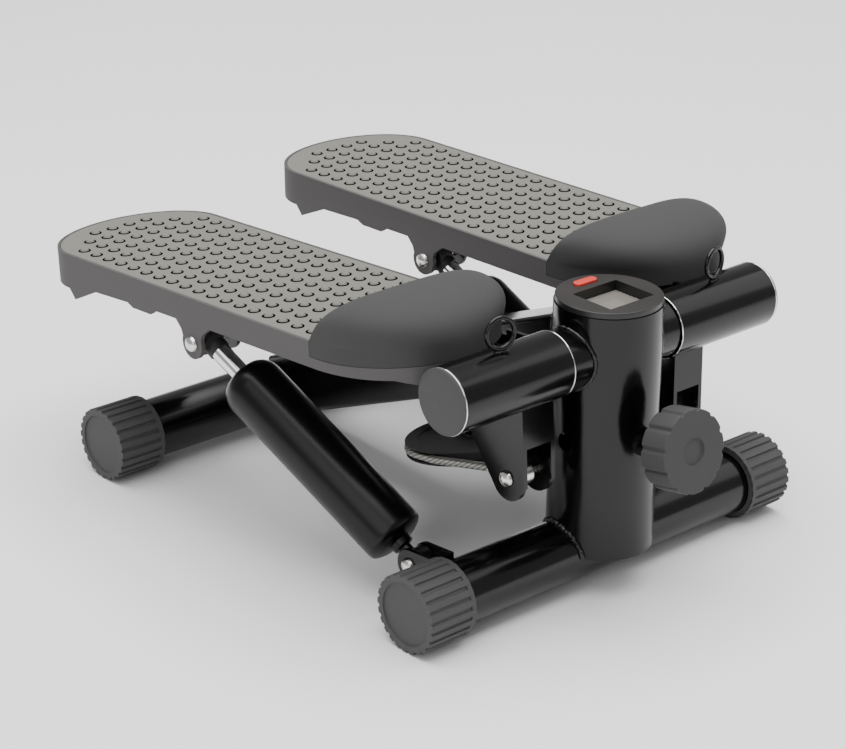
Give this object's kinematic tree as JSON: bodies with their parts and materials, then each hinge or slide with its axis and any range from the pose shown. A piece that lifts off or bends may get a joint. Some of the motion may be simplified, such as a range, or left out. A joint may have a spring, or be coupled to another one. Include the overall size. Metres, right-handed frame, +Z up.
{
  "type": "mini stepper",
  "caption": "Low exercise stepper with two rocking foot pedals linked by a cable and pulley, two side dampers, a post with a display and a tension knob",
  "frame": {"origin": "centre of the footprint on the floor", "axes": "+Z up, the display post and knob face -Y, heels at +Y, the user's left pedal at +X"},
  "size_m": [0.3339, 0.4896, 0.2129],
  "materials": {
    "black_paint": "gloss black paint",
    "damper_paint": "semi-gloss black paint",
    "cap_plastic": "matte dark grey plastic",
    "knob_plastic": "matte black plastic",
    "dome_plastic": "satin black plastic",
    "pan_plastic": "fine-grained dark grey plastic",
    "tread_rubber": "grey rubber with round nubs",
    "cup_rubber": "satin black rubber",
    "cable_steel": "twisted bright steel",
    "chrome_rod": "polished",
    "pulley_plastic": "satin black plastic",
    "display_plastic": "fine matte grey-brown",
    "display_lens": "clear gloss over a grey display",
    "button_plastic": "satin red",
    "zinc_steel": "bright zinc plate"
  },
  "bodies": {
    "frame": {"front_tube": "black_paint", "rear_tube": "black_paint", "front_right_end_cap": "cap_plastic", "front_left_end_cap": "cap_plastic", "rear_right_end_cap": "cap_plastic", "rear_left_end_cap": "cap_plastic", "post": "black_paint", "axle": "zinc_steel", "right_collar": "black_paint", "left_collar": "black_paint", "main_beam": "black_paint", "display_housing": "display_plastic", "display_lens": "display_lens", "screw_boss": "black_paint", "pulley_yoke": "black_paint", "pulley_pin": "zinc_steel", "right_clevis": "black_paint", "left_clevis": "black_paint", "right_lower_bolt": "zinc_steel", "left_lower_bolt": "zinc_steel", "right_lower_nut": "zinc_steel", "left_lower_nut": "zinc_steel", "cable": "cable_steel"},
    "right_pedal": {"right_sleeve": "black_paint", "right_sleeve_cap": "dome_plastic", "right_eye_loop": "black_paint", "right_pedal_pan": "pan_plastic", "right_tread": "tread_rubber", "right_toe_cup": "cup_rubber", "right_cable_bracket": "black_paint", "right_cable_bolt": "zinc_steel", "right_cable_nut": "zinc_steel", "right_cable_end": "zinc_steel", "right_inner_lug": "black_paint", "right_upper_bolt": "zinc_steel", "right_upper_nut": "zinc_steel"},
    "left_pedal": {"left_sleeve": "black_paint", "left_sleeve_cap": "dome_plastic", "left_eye_loop": "black_paint", "left_pedal_pan": "pan_plastic", "left_tread": "tread_rubber", "left_toe_cup": "cup_rubber", "left_cable_bracket": "black_paint", "left_cable_bolt": "zinc_steel", "left_cable_nut": "zinc_steel", "left_cable_end": "zinc_steel", "left_inner_lug": "black_paint", "left_upper_bolt": "zinc_steel", "left_upper_nut": "zinc_steel"},
    "right_damper": {"right_damper_body": "damper_paint"},
    "right_rod": {"right_damper_rod": "chrome_rod", "right_rod_end": "black_paint"},
    "left_damper": {"left_damper_body": "damper_paint"},
    "left_rod": {"left_damper_rod": "chrome_rod", "left_rod_end": "black_paint"},
    "pulley": {"pulley": "pulley_plastic"},
    "knob": {"tension_knob": "knob_plastic", "tension_screw": "zinc_steel"},
    "button": {"reset_button": "button_plastic"}
  },
  "joints": [
    {"name": "right_pedal_hinge", "type": "hinge", "parent": "frame", "child": "right_pedal", "pos_m": [0, -0.16081, 0.16263], "axis": [1, 0, 0], "range_deg": [-6.26, 8], "deforming": ["cable"]},
    {"name": "left_pedal_hinge", "type": "hinge", "parent": "frame", "child": "left_pedal", "pos_m": [0, -0.16081, 0.16263], "axis": [1, 0, 0], "range_deg": [-8, 6.26]},
    {"name": "right_damper_hinge", "type": "hinge", "parent": "frame", "child": "right_damper", "pos_m": [-0.1165, -0.11725, 0.031], "axis": [1, 0, 0], "range_deg": [-5.3, 6.75]},
    {"name": "right_rod_slide", "type": "slide", "parent": "right_damper", "child": "right_rod", "axis": [-0.1707, 0.833, 0.5264], "range_m": [-0.015, 0.0192]},
    {"name": "left_damper_hinge", "type": "hinge", "parent": "frame", "child": "left_damper", "pos_m": [0.09, -0.11725, 0.031], "axis": [1, 0, 0], "range_deg": [-6.6, 5.2]},
    {"name": "left_rod_slide", "type": "slide", "parent": "left_damper", "child": "left_rod", "axis": [-0.1881, 0.811, 0.554], "range_m": [-0.019, 0.0149]},
    {"name": "pulley_spin", "type": "hinge", "parent": "frame", "child": "pulley", "pos_m": [0, -0.05045, 0.0603], "axis": [0, 0.225, 0.9744], "range_deg": [-10.1, 7.9]},
    {"name": "knob_turn", "type": "hinge", "parent": "frame", "child": "knob", "pos_m": [0, -0.23975, 0.1164], "axis": [0, -0.982, 0.1891], "range_deg": [-360, 360]},
    {"name": "button_press", "type": "slide", "parent": "frame", "child": "button", "axis": [0, 0, -1], "range_m": [0, 0.0015], "stiffness_N_per_m": 400, "springref_m": -0.001}
  ],
  "couplings": [
    {"joint": "left_pedal_hinge", "follows": "right_pedal_hinge", "ratio": -1},
    {"joint": "right_damper_hinge", "follows": "right_pedal_hinge", "ratio": 0.83674},
    {"joint": "right_rod_slide", "follows": "right_pedal_hinge", "m_per_rad": 0.13634},
    {"joint": "left_damper_hinge", "follows": "right_pedal_hinge", "ratio": -0.81809},
    {"joint": "left_rod_slide", "follows": "right_pedal_hinge", "m_per_rad": -0.1355},
    {"joint": "pulley_spin", "follows": "right_pedal_hinge", "ratio": -1.247}
  ]
}
